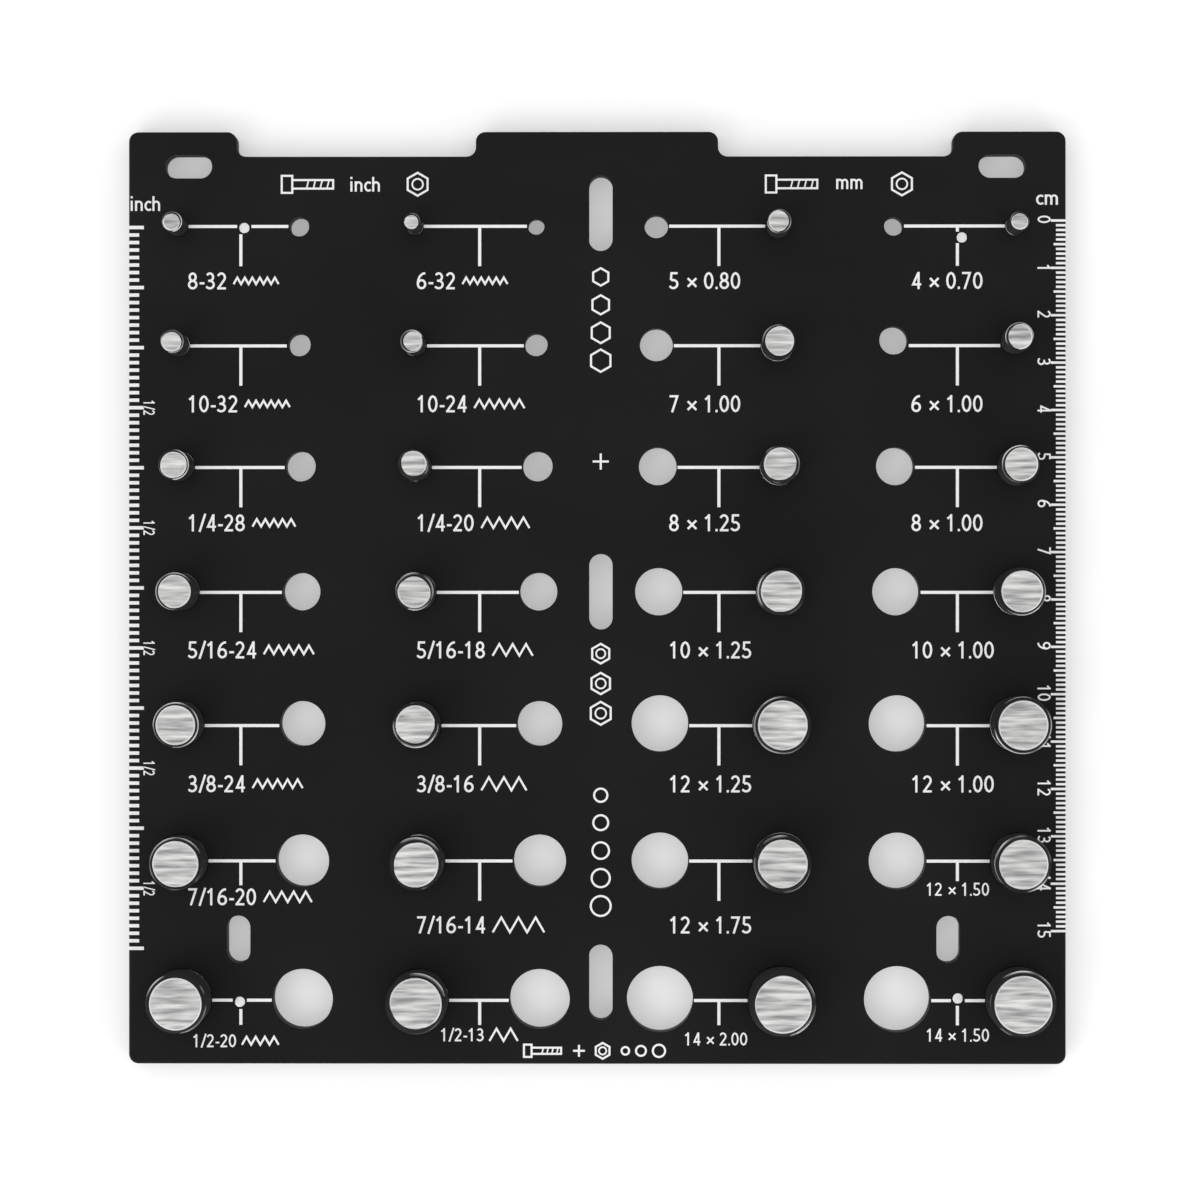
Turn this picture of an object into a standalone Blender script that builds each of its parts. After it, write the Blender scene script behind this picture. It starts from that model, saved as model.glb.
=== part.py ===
"""Bolt identifier board: a flat black plate with three tabs along its top edge, seven slots for
hanging it, four small pins and 28 pairs of a steel stud and a plain gauge hole of the same size.

Metres, +Z up. The plate lies on its back at z = 0, with its printed face up and its tabs at +Y.
Each stud is turned to its major diameter and stands in a bore of its own, right through the plate.
The pair's gauge hole is open from face to face and as wide as the thread that it checks.
"""

import bmesh
import bpy
from math import cos, pi, sin, tan
from mathutils import Vector

INCH = 0.0254
MM = 0.001

# Plate
PLATE_THICKNESS = 0.0060
PLATE_CORNER_RADIUS = 0.0020
PLATE_EDGE_ROUND = 0.0006
LEFT_TAB_WIDTH = 0.0228
CENTRE_TAB_WIDTH = 0.0512
RIGHT_TAB_WIDTH = 0.0238
TAB_RECESS_DEPTH = 0.0052

# Grid across the plate, from its side to its centre line
SIDE_MARGIN_WIDTH = 0.0106
PAIR_WIDTH = 0.0256
COLUMN_GAP_WIDTH = 0.0245
CENTRE_STRIP_WIDTH = 0.0254

# Grid down the plate, from its top edge to its bottom edge
TOP_MARGIN_HEIGHT = 0.0200
ROW_HEIGHTS = (0.0250, 0.0257, 0.0265, 0.0279, 0.0290, 0.0292)
BOTTOM_MARGIN_HEIGHT = 0.0137

# How the real board departs from an even grid: all of it stands to the right, more so in the
# lower rows, and one small pair stands above its row
GRID_SHIFT = 0.0003
ROW_SHIFTS = (-0.00045, -0.00045, -0.00015, 0.00005, 0.0003, 0.0003, 0.0003)
RAISED_PAIR = (3, 1)
RAISED_PAIR_RISE = 0.0009

# Studs
STUD_RISE = 0.0125
STUD_CLEARANCE = 0.0003
STUD_BACK_INSET = 0.0003
STUD_END_SHARE = 0.84
STUD_CHAMFER_SLOPE = 1.0
STUD_BACK_CHAMFER = 0.0003

# Slots for hanging
SLOT_WIDTH = 0.0050
CORNER_SLOT_LENGTH = 0.0100
CORNER_SLOT_FROM_SIDE = 0.0130
CORNER_SLOT_FROM_TOP = 0.0073
CORNER_SLOT_SHIFT = -0.0004
CENTRE_SLOT_LENGTH = 0.0160
CENTRE_SLOT_FROM_EDGE = 0.0172
CENTRE_SLOT_SHIFT = 0.0008
CENTRE_SLOT_ROW = 3
LOW_SLOT_LENGTH = 0.0100
LOW_SLOT_ABOVE_LAST_ROW = 0.0126
LEFT_LOW_SLOT_SHIFT = -0.0008
RIGHT_LOW_SLOT_SHIFT = -0.0020

# Pins, each set a little off the middle of an outer pair
PIN_DIAMETER = 0.0023
PIN_CLEARANCE = 0.0003
PIN_INSET = 0.0003
UPPER_LEFT_PIN_SHIFT = (0.0012, -0.0003)
UPPER_RIGHT_PIN_SHIFT = (0.0016, -0.0024)
LOWER_LEFT_PIN_SHIFT = (-0.0005, -0.0006)
LOWER_RIGHT_PIN_SHIFT = (0.0000, 0.0002)

# How finely round forms are divided
ROUND_STEPS = 24
PIN_STEPS = 12
FILLET_STEPS = 4
EDGE_ROUND_STEPS = 2


def number_size(number):
    """Major diameter of an inch thread that is known by a gauge number."""
    return (0.060 + 0.013 * number) * INCH


# Threads by column from left to right, each column from top to bottom: name and major diameter
THREADS = (
    (
        ("no8-32", number_size(8)),
        ("no10-32", number_size(10)),
        ("1_4-28", INCH * 1 / 4),
        ("5_16-24", INCH * 5 / 16),
        ("3_8-24", INCH * 3 / 8),
        ("7_16-20", INCH * 7 / 16),
        ("1_2-20", INCH * 1 / 2),
    ),
    (
        ("no6-32", number_size(6)),
        ("no10-24", number_size(10)),
        ("1_4-20", INCH * 1 / 4),
        ("5_16-18", INCH * 5 / 16),
        ("3_8-16", INCH * 3 / 8),
        ("7_16-14", INCH * 7 / 16),
        ("1_2-13", INCH * 1 / 2),
    ),
    (
        ("5x0.8", MM * 5),
        ("7x1.0", MM * 7),
        ("8x1.25", MM * 8),
        ("10x1.25", MM * 10),
        ("12x1.25", MM * 12),
        ("12x1.75", MM * 12),
        ("14x2.0", MM * 14),
    ),
    (
        ("4x0.7", MM * 4),
        ("6x1.0", MM * 6),
        ("8x1.0", MM * 8),
        ("10x1.0", MM * 10),
        ("12x1.0", MM * 12),
        ("12x1.5", MM * 12),
        ("14x1.5", MM * 14),
    ),
)

# Places worked out from the grid
HALF_WIDTH = SIDE_MARGIN_WIDTH + PAIR_WIDTH + COLUMN_GAP_WIDTH + PAIR_WIDTH + CENTRE_STRIP_WIDTH / 2
HALF_HEIGHT = (TOP_MARGIN_HEIGHT + sum(ROW_HEIGHTS) + BOTTOM_MARGIN_HEIGHT) / 2
OUTER_STUD_X = HALF_WIDTH - SIDE_MARGIN_WIDTH
OUTER_HOLE_X = OUTER_STUD_X - PAIR_WIDTH
INNER_HOLE_X = CENTRE_STRIP_WIDTH / 2
INNER_STUD_X = INNER_HOLE_X + PAIR_WIDTH
STUD_X = (-OUTER_STUD_X, -INNER_STUD_X, INNER_STUD_X, OUTER_STUD_X)
HOLE_X = (-OUTER_HOLE_X, -INNER_HOLE_X, INNER_HOLE_X, OUTER_HOLE_X)
ROW_Y = [HALF_HEIGHT - TOP_MARGIN_HEIGHT - sum(ROW_HEIGHTS[:row]) for row in range(len(ROW_HEIGHTS) + 1)]
LEFT_COLUMN, RIGHT_COLUMN = 0, len(THREADS) - 1
TOP_ROW, BOTTOM_ROW = 0, len(ROW_HEIGHTS)
STUD_TOP = PLATE_THICKNESS + STUD_RISE
CUTTER_REACH = 0.002


def clear_scene():
    """Remove whatever the scene holds."""
    for old in list(bpy.data.objects):
        bpy.data.objects.remove(old, do_unlink=True)


def new_collection(name):
    """A collection in the scene."""
    collection = bpy.data.collections.new(name)
    bpy.context.scene.collection.children.link(collection)
    return collection


def new_material(name, colour, roughness, metallic):
    """A Principled BSDF material in one colour."""
    material = bpy.data.materials.new(name)
    material.use_nodes = True
    shader = material.node_tree.nodes["Principled BSDF"]
    shader.inputs["Base Color"].default_value = (*colour, 1.0)
    shader.inputs["Roughness"].default_value = roughness
    shader.inputs["Metallic"].default_value = metallic
    return material


def fillet(before, corner, after, radius):
    """Points of the arc that rounds the corner between two straight sides."""
    back = (before - corner).normalized()
    ahead = (after - corner).normalized()
    half_angle = back.angle(ahead) / 2
    centre = corner + (back + ahead).normalized() * radius / sin(half_angle)
    first = (corner + back * radius / tan(half_angle) - centre).normalized()
    last = (corner + ahead * radius / tan(half_angle) - centre).normalized()
    return [centre + radius * first.slerp(last, step / FILLET_STEPS) for step in range(FILLET_STEPS + 1)]


def rounded(corners, radius):
    """A closed outline with each of its corners rounded."""
    points = []
    for index, corner in enumerate(corners):
        points += fillet(corners[index - 1], corner, corners[(index + 1) % len(corners)], radius)
    return points


def circle(x, y, diameter, steps):
    """A closed ring of points around (x, y)."""
    turns = [2 * pi * step / steps for step in range(steps)]
    return [Vector((x + diameter / 2 * cos(turn), y + diameter / 2 * sin(turn))) for turn in turns]


def slot(x, y, length, direction):
    """A slot with round ends, with its long way along the direction given in radians."""
    steps = ROUND_STEPS // 2
    along = Vector((cos(direction), sin(direction))) * (length - SLOT_WIDTH) / 2
    points = []
    for end, start in ((along, direction - pi / 2), (-along, direction + pi / 2)):
        for step in range(steps + 1):
            turn = start + pi * step / steps
            points.append(Vector((x, y)) + end + Vector((cos(turn), sin(turn))) * SLOT_WIDTH / 2)
    return points


def flat_solid(name, outlines, bottom, thickness):
    """A mesh object that fills flat closed outlines and is as thick as given, upwards from bottom."""
    curve = bpy.data.curves.new(name + "_outline", "CURVE")
    curve.dimensions = "2D"
    curve.fill_mode = "BOTH"
    curve.extrude = thickness / 2
    for outline in outlines:
        spline = curve.splines.new("POLY")
        spline.points.add(len(outline) - 1)
        for point, place in zip(spline.points, outline):
            point.co = (place.x, place.y, 0.0, 1.0)
        spline.use_cyclic_u = True
    flat = bpy.data.objects.new(name + "_outline", curve)
    flat.location.z = bottom + thickness / 2
    bpy.context.scene.collection.objects.link(flat)
    bpy.context.view_layer.update()
    shape = flat.evaluated_get(bpy.context.evaluated_depsgraph_get())
    mesh = bpy.data.meshes.new_from_object(shape)
    weld_caps(mesh)
    solid = bpy.data.objects.new(name, mesh)
    solid.matrix_world = flat.matrix_world.copy()
    bpy.data.objects.remove(flat, do_unlink=True)
    return solid


def weld_caps(mesh):
    """Join a filled outline's loose faces to its walls."""
    work = bmesh.new()
    work.from_mesh(mesh)
    bmesh.ops.remove_doubles(work, verts=work.verts, dist=1e-6)
    bmesh.ops.recalc_face_normals(work, faces=work.faces)
    work.to_mesh(mesh)
    work.free()


def shade(part, material):
    """Give a part its material, smooth where it is round and crisp at its edges."""
    part.data.materials.clear()
    part.data.materials.append(material)
    part.data.shade_smooth()
    part.data.set_sharp_from_angle(angle=pi / 6)


def pair_place(column, row):
    """X of the stud, x of the gauge hole and y of both."""
    shift = GRID_SHIFT + ROW_SHIFTS[row]
    rise = RAISED_PAIR_RISE if (column, row) == RAISED_PAIR else 0.0
    return STUD_X[column] + shift, HOLE_X[column] + shift, ROW_Y[row] + rise


def pair_middle(column, row):
    """Middle of the straight way from a stud to its gauge hole."""
    stud_x, hole_x, y = pair_place(column, row)
    return (stud_x + hole_x) / 2, y


def plate_corners():
    """Corners of the plate, anticlockwise from its bottom right."""
    side = HALF_WIDTH
    middle = CENTRE_TAB_WIDTH / 2
    top = HALF_HEIGHT
    low = HALF_HEIGHT - TAB_RECESS_DEPTH
    right = [(side, -top), (side, top), (side - RIGHT_TAB_WIDTH, top), (side - RIGHT_TAB_WIDTH, low)]
    centre = [(middle, low), (middle, top), (-middle, top), (-middle, low)]
    left = [(LEFT_TAB_WIDTH - side, low), (LEFT_TAB_WIDTH - side, top), (-side, top), (-side, -top)]
    return [Vector(corner) for corner in right + centre + left]


def pin_places():
    """Name, x and y of each pin."""
    pins = (
        ("pin_upper_left", LEFT_COLUMN, TOP_ROW, UPPER_LEFT_PIN_SHIFT),
        ("pin_upper_right", RIGHT_COLUMN, TOP_ROW, UPPER_RIGHT_PIN_SHIFT),
        ("pin_lower_left", LEFT_COLUMN, BOTTOM_ROW, LOWER_LEFT_PIN_SHIFT),
        ("pin_lower_right", RIGHT_COLUMN, BOTTOM_ROW, LOWER_RIGHT_PIN_SHIFT),
    )
    places = []
    for name, column, row, (shift_x, shift_y) in pins:
        x, y = pair_middle(column, row)
        places.append((name, x + shift_x, y + shift_y))
    return places


def slot_outlines():
    """Outlines of the seven slots."""
    corner_x = HALF_WIDTH - CORNER_SLOT_FROM_SIDE
    corner_y = HALF_HEIGHT - CORNER_SLOT_FROM_TOP
    centre_y = HALF_HEIGHT - CENTRE_SLOT_FROM_EDGE
    outlines = []
    for x in (-corner_x, corner_x):
        outlines.append(slot(x + CORNER_SLOT_SHIFT, corner_y, CORNER_SLOT_LENGTH, 0.0))
    for y in (centre_y, ROW_Y[CENTRE_SLOT_ROW], -centre_y):
        outlines.append(slot(CENTRE_SLOT_SHIFT, y, CENTRE_SLOT_LENGTH, pi / 2))
    for column, shift in ((LEFT_COLUMN, LEFT_LOW_SLOT_SHIFT), (RIGHT_COLUMN, RIGHT_LOW_SLOT_SHIFT)):
        x, y = pair_middle(column, BOTTOM_ROW)
        outlines.append(slot(x + shift, y + LOW_SLOT_ABOVE_LAST_ROW, LOW_SLOT_LENGTH, pi / 2))
    return outlines


def opening_outlines():
    """Everything that is cut through the plate: gauge holes, stud bores, slots and pin bores."""
    outlines = slot_outlines()
    for column, threads in enumerate(THREADS):
        for row, (name, diameter) in enumerate(threads):
            stud_x, hole_x, y = pair_place(column, row)
            outlines.append(circle(hole_x, y, diameter, ROUND_STEPS))
            outlines.append(circle(stud_x, y, diameter + 2 * STUD_CLEARANCE, ROUND_STEPS))
    for name, x, y in pin_places():
        outlines.append(circle(x, y, PIN_DIAMETER + 2 * PIN_CLEARANCE, PIN_STEPS))
    return outlines


def make_plate(parts, cutters, material):
    """The plate: its tabbed outline with rounded edges, cut through by all its openings."""
    plate = flat_solid("plate", [rounded(plate_corners(), PLATE_CORNER_RADIUS)], 0.0, PLATE_THICKNESS)
    parts.objects.link(plate)
    edge = plate.modifiers.new("edge_round", "BEVEL")
    edge.width = PLATE_EDGE_ROUND
    edge.segments = EDGE_ROUND_STEPS
    edge.limit_method = "ANGLE"

    depth = PLATE_THICKNESS + 2 * CUTTER_REACH
    cutter = flat_solid("plate_openings", opening_outlines(), -CUTTER_REACH, depth)
    cutter.hide_render = True
    cutter.display_type = "WIRE"
    cutters.objects.link(cutter)
    cut = plate.modifiers.new("openings", "BOOLEAN")
    cut.operation = "DIFFERENCE"
    cut.solver = "EXACT"
    cut.object = cutter
    shade(plate, material)


def turned(name, profile, steps):
    """A solid turned about Z from a profile of (radius, height) that runs from its top to its foot."""
    mesh = bpy.data.meshes.new(name)
    edges = [(index, index + 1) for index in range(len(profile) - 1)]
    mesh.from_pydata([(radius, 0.0, height) for radius, height in profile], edges, [])
    part = bpy.data.objects.new(name, mesh)
    screw = part.modifiers.new("turn", "SCREW")
    screw.axis = "Z"
    screw.steps = steps
    screw.render_steps = steps
    screw.use_merge_vertices = True
    screw.merge_threshold = 1e-6
    screw.use_smooth_shade = False
    return part


def stud_profile(diameter):
    """Flat end, chamfer down to the thread's root, straight side and a broken edge at the back."""
    radius = diameter / 2
    end_radius = radius * STUD_END_SHARE
    chamfer = (radius - end_radius) * STUD_CHAMFER_SLOPE
    foot = STUD_BACK_INSET
    return [
        (0.0, STUD_TOP),
        (end_radius, STUD_TOP),
        (radius, STUD_TOP - chamfer),
        (radius, foot + STUD_BACK_CHAMFER),
        (radius - STUD_BACK_CHAMFER, foot),
        (0.0, foot),
    ]


def make_studs(parts, material):
    """One stud for each thread, standing in the outer bore of its pair."""
    for column, threads in enumerate(THREADS):
        for row, (name, diameter) in enumerate(threads):
            stud = turned("stud_" + name, stud_profile(diameter), ROUND_STEPS)
            stud_x, hole_x, y = pair_place(column, row)
            stud.location = (stud_x, y, 0.0)
            stud.data.materials.append(material)
            parts.objects.link(stud)


def make_pins(parts, material):
    """Four headless pins, flush with the plate's face and a little in from its back."""
    radius = PIN_DIAMETER / 2
    profile = [(0.0, PLATE_THICKNESS), (radius, PLATE_THICKNESS), (radius, PIN_INSET), (0.0, PIN_INSET)]
    for name, x, y in pin_places():
        pin = turned(name, profile, PIN_STEPS)
        pin.location = (x, y, 0.0)
        pin.data.materials.append(material)
        parts.objects.link(pin)


def main():
    clear_scene()
    parts = new_collection("bolt_identifier_board")
    cutters = new_collection("bolt_identifier_board_cutters")
    black_plastic = new_material("black_plastic", (0.016, 0.016, 0.016), 0.55, 0.0)
    black_oxide_steel = new_material("black_oxide_steel", (0.03, 0.03, 0.03), 0.45, 1.0)
    bright_steel = new_material("bright_steel", (0.80, 0.80, 0.79), 0.20, 1.0)
    make_plate(parts, cutters, black_plastic)
    make_studs(parts, black_oxide_steel)
    make_pins(parts, bright_steel)


main()
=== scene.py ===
"""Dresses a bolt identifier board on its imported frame.

The plate, the 28 threaded studs and the four pins are worked out finely from the frame's own boxes. White
print lies on the plate's face: lines from stud to gauge hole, thread sizes, an inch rule, a centimetre rule
and small generic signs. Everything is in metres, with the plate's back at z = 0.
"""

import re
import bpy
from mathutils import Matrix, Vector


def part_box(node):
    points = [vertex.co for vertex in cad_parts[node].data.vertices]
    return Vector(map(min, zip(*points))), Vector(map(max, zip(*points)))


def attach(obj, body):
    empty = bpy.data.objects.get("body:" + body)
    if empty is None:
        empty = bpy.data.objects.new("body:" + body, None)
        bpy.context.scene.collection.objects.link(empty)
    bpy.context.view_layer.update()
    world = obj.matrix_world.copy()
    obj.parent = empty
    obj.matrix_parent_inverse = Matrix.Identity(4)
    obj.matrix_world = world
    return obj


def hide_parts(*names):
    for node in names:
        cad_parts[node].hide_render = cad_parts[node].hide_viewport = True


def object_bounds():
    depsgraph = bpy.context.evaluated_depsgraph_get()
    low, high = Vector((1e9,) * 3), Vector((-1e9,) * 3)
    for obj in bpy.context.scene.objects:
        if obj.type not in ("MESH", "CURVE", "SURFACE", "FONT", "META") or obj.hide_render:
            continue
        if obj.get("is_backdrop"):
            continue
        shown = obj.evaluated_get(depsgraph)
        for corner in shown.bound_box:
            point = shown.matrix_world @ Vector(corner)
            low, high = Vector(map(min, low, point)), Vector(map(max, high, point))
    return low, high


bl_info = {
    "name": "Bolt identifier board",
    "version": (1, 1, 0),
    "blender": (4, 5, 0),
    "location": "3D View > Sidebar > Board",
    "description": "Makes the plate, threaded studs, pins, white print and stage of a bolt gauge board",
    "category": "Object",
}

from collections import namedtuple

import bmesh
import bpy
import numpy as np
from bpy.props import FloatProperty, FloatVectorProperty, IntProperty, PointerProperty
from bpy.types import Operator, Panel, PropertyGroup
from mathutils import Vector
from mathutils.geometry import delaunay_2d_cdt, tessellate_polygon

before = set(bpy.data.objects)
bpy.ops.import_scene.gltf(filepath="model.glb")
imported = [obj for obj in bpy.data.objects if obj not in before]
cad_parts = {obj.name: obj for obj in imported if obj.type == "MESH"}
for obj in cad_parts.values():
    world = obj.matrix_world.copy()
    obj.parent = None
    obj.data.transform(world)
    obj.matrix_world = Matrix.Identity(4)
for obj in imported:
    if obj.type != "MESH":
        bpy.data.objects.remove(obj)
frame_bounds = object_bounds()

MM = 0.001
INCH = 0.0254


def millimetres(*values):
    """A row of lengths given in millimetres, in metres."""
    return tuple(value * MM for value in values)


PLATE_LOW, PLATE_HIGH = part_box("plate")
HALF_WIDTH, HALF_HEIGHT, FACE = PLATE_HIGH

# The plate's shape beside its box, and the splits of its rounded corners and rims
LEFT_TAB_WIDTH = 22.8 * MM
CENTRE_TAB_WIDTH = 51.2 * MM
RIGHT_TAB_WIDTH = 23.8 * MM
TAB_RECESS_DEPTH = 5.2 * MM
STUD_TO_HOLE = 25.6 * MM
CORNER_SPLITS = 8
EDGE_SPLITS = 6
RIM_SPLITS = 4
BORE_SPLITS = 3

# Slots: width, lengths and places
SLOT_WIDTH = 5.0 * MM
CORNER_SLOT_LENGTH = 10.0 * MM
CORNER_SLOT_FROM_SIDE = 13.0 * MM
CORNER_SLOT_FROM_TOP = 7.3 * MM
CORNER_SLOT_SHIFT = -0.4 * MM
CENTRE_SLOT_LENGTH = 16.0 * MM
CENTRE_SLOT_FROM_EDGE = 17.2 * MM
CENTRE_SLOT_SHIFT = 0.8 * MM
CENTRE_SLOT_ROW = 3
LOW_SLOT_LENGTH = 10.0 * MM
LOW_SLOT_ABOVE_LAST_ROW = 12.6 * MM
LOW_SLOT_SHIFTS = millimetres(-0.8, -2.0)

# Rows of studs counted from the top, and columns from the left
ROWS = 7
ROW_SIX = 5
LAST_ROW = ROWS - 1
COLUMNS = 4
LAST_COLUMN = COLUMNS - 1

# The thread across one pitch: where crest, flank, root and flank begin, and the mesh's rows
THREAD_CORNERS = (0.0, 1 / 8, 7 / 16, 11 / 16, 1.0)
THREAD_ROWS = (0.0, 1 / 8, 0.155, 0.28, 7 / 16, 11 / 16, 0.845, 0.97)

# A stud's cut end: its broken edge, its rim's width, the mesh's last ring and where the painted highlight
# round its rim begins as shares of its radius, and how far under the top a face still has the end's finish
END_BREAK = 0.15 * MM
END_RIM = 0.32 * MM
END_RING_SHARE = 0.45
RIM_HIGHLIGHT_FROM_SHARE = 0.97
CUT_FACES_FROM_TOP = 0.9 * END_BREAK

# Wear: how far up from the plate, how much of a pitch beside the first turn, and how far in from the crest
WORN_FOOT = 0.5 * MM
WORN_TURN_SHARE = 0.6
RUBBED_WIDTH = 0.2 * MM

# Pins: their domed top and the steps round them
PIN_DOME = 0.08 * MM
PIN_DOME_POINTS = 9
PIN_STEPS = 32

# The print: how far lines and sizes lie under their row, and their places in each column
LINE_DROPS = millimetres(0.0, 0.25, 0.25, 0.15, 0.4, 0.0, 0.25)
STEM_PLACES = millimetres(-75.28, -24.78, 25.76, 76.10)
LABEL_STARTS = millimetres(-11.2, -13.3, -10.5, -9.7)
LABEL_DROPS = [(drop * MM,) * COLUMNS for drop in (13.3, 14.3, 13.75, 14.1, 14.5)]
LABEL_DROPS += [millimetres(9.4, 15.3, 15.3, 7.3), millimetres(10.2, 8.9, 9.75, 8.9)]
SMALL_LABEL_STARTS = millimetres(-10.2, -8.3, -7.3, -6.6)

# How far a line stops from a pin's ring, the shortest piece of line, and how deep all ink is sunk
PIN_CLEARANCE = 0.1 * MM
SHORTEST_LINE = 0.1 * MM
INK_SINK = 0.01 * MM

# The zigzag after an inch size: its gap and length in digit heights, and how far its pitch is enlarged
ZIGZAG_GAP = 0.45
ZIGZAG_LENGTH = 2.7
ZIGZAG_SCALE = 2

# Rules: how far their noughts stand over the top row, how long they are, and their ticks, which wrap over
# the plate's edge by some degrees in a few bends
INCH_RULE_RISE = -0.2 * MM
RULE_INCHES = 6
INCH_PARTS = 16
CENTIMETRE_RULE_RISE = 1.15 * MM
RULE_CENTIMETRES = 15
LONG_TICK = 3.2 * MM
MIDDLE_TICK = 2.6 * MM
SHORT_TICK = 2.1 * MM
INCH_TICK = 2.2 * MM
INCH_TICK_WIDTH = 0.72 * MM
MILLIMETRE_TICK_WIDTH = 0.5 * MM
TICK_WRAP = 66
TICK_BENDS = 5

# Beside the rules: half marks from one and a half inches on, numbers, and units by the noughts
FIRST_HALF_MARK = 24
HALF_MARK_FROM_EDGE = 4.3 * MM
HALF_MARK_STRETCH = 0.8
NUMBER_FROM_EDGE = 4.6 * MM
NUMBER_RISE = 0.25 * MM
INCH_UNIT_IN, INCH_UNIT_RISE = millimetres(0.35, 3.5)
CENTIMETRE_UNIT_IN, CENTIMETRE_UNIT_RISE = millimetres(4.0, 4.4)
INCH_UNIT_STRETCH = 1.1
CENTIMETRE_UNIT_STRETCH = 1.2

# Meshes: points nearer than this are merged, shorter edges go, and a normal this upright is a level face's
MERGE_REACH = 2e-7
SHORTEST_EDGE = 1e-8
LEVEL_NORMAL = 0.9999

# The share of a flat sheet's size within which its points are one
SHEET_REACH = 1e-7

Pin = namedtuple("Pin", "node x y radius foot top")
Thread = namedtuple("Thread", (*Pin._fields, "pitch", "label", "metric", "column", "row"))
Opening = namedtuple("Opening", "points outward rim splits")
Sign = namedtuple("Sign", "step points faces")
Finish = namedtuple("Finish", "material tree shader place")


# Sizes from the frame


def read_pin(node):
    """A round node's place and size from its box."""
    low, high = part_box(node)
    x, y = (low[0] + high[0]) / 2, (low[1] + high[1]) / 2
    return Pin(node, x, y, (high[0] - low[0]) / 2, low[2], high[2])


def read_thread(node):
    """A stud's place and size from its box, its pitch and label from its name, and no column or row yet."""
    metric = re.fullmatch(r"stud_(\d+)x([\d.]+)", node)
    if metric:
        pitch = float(metric.group(2)) * MM
        label = f"{metric.group(1)} × {float(metric.group(2)):.2f}"
    else:
        size, count = re.fullmatch(r"stud_(?:no)?([\d_]+)-(\d+)", node).groups()
        pitch = INCH / int(count)
        label = size.replace("_", "/") + "-" + count
    return Thread(*read_pin(node), pitch, label, bool(metric), None, None)


def read_threads():
    """The threads in four columns from left to right, each from top to bottom."""
    found = [read_thread(node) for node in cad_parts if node.startswith("stud_")]
    found.sort(key=lambda thread: thread.x)
    threads = []
    for start in range(0, len(found), ROWS):
        column = sorted(found[start:start + ROWS], key=lambda thread: -thread.y)
        threads += [thread._replace(column=start // ROWS, row=row) for row, thread in enumerate(column)]
    return threads


THREADS = read_threads()
PINS = [read_pin(node) for node in sorted(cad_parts) if node.startswith("pin_")]

# The common height of each row, whatever one stud in it departs by
ROW_Y = [np.median([thread.y for thread in THREADS if thread.row == row]) for row in range(ROWS)]


def hole_x(thread):
    """The gauge hole of a pair stands inwards of its stud."""
    return thread.x - np.sign(thread.x) * STUD_TO_HOLE


def pair_x(thread):
    """The middle of a pair."""
    return (thread.x + hole_x(thread)) / 2


# Shapes as arrays


def circle(x, y, radius, steps):
    """Points at equal angles round (x, y), anticlockwise, and the unit vectors from its centre."""
    turn = np.linspace(0, 2 * np.pi, steps, endpoint=False)
    ray = np.stack([np.cos(turn), np.sin(turn)], axis=1)
    return np.array([x, y]) + radius * ray, ray


def slot(x, y, length, width, upright, steps):
    """Two half circles a straight way apart, as one ring, and the unit vectors from their centres."""
    turn = np.linspace(-np.pi / 2, np.pi / 2, steps + 1)
    turn = np.concatenate([turn, turn + np.pi])
    ray = np.stack([np.cos(turn), np.sin(turn)], axis=1)
    reach = np.repeat([1.0, -1.0], steps + 1) * (length - width) / 2
    points = ray * width / 2
    points[:, 0] += reach
    if upright:
        points = np.stack([-points[:, 1], points[:, 0]], axis=1)
        ray = np.stack([-ray[:, 1], ray[:, 0]], axis=1)
    return np.array([x, y]) + points, ray


def rounded_outline(corners, radius, steps):
    """A closed outline of square corners, each replaced by a quarter circle that meets both its sides.

    Each arc runs from the direction of the side before to that of the side after, round a centre that lies
    one radius inside both sides, and its unit vectors point away from the plate.
    """
    corners = np.array(corners)
    back = np.roll(corners, 1, axis=0) - corners
    ahead = np.roll(corners, -1, axis=0) - corners
    back /= np.linalg.norm(back, axis=1, keepdims=True)
    ahead /= np.linalg.norm(ahead, axis=1, keepdims=True)
    convex = np.sign(back[:, 1] * ahead[:, 0] - back[:, 0] * ahead[:, 1])
    centre = corners + (back + ahead) * radius
    share = np.linspace(0, np.pi / 2, steps + 1)
    ray = -ahead[:, None] * np.cos(share)[None, :, None] - back[:, None] * np.sin(share)[None, :, None]
    points = centre[:, None] + radius * ray
    outward = ray * convex[:, None, None]
    return points.reshape(-1, 2), outward.reshape(-1, 2)


def plate_corners():
    """Corners of the tabbed plate, anticlockwise from its bottom right."""
    right, left = HALF_WIDTH - RIGHT_TAB_WIDTH, LEFT_TAB_WIDTH - HALF_WIDTH
    middle = CENTRE_TAB_WIDTH / 2
    low = HALF_HEIGHT - TAB_RECESS_DEPTH
    corners = [(HALF_WIDTH, -HALF_HEIGHT), (HALF_WIDTH, HALF_HEIGHT), (right, HALF_HEIGHT), (right, low)]
    corners += [(middle, low), (middle, HALF_HEIGHT), (-middle, HALF_HEIGHT), (-middle, low)]
    corners += [(left, low), (left, HALF_HEIGHT), (-HALF_WIDTH, HALF_HEIGHT), (-HALF_WIDTH, -HALF_HEIGHT)]
    return corners


def grid_faces(rows, columns, closed):
    """Quads between neighbouring rows of a grid whose columns may close on themselves."""
    row = np.arange(rows - 1)[:, None]
    column = np.arange(columns if closed else columns - 1)[None]
    after = (column + 1) % columns
    near, far = row * columns, (row + 1) * columns
    return np.stack([near + column, near + after, far + after, far + column], axis=-1).reshape(-1, 4)


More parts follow.
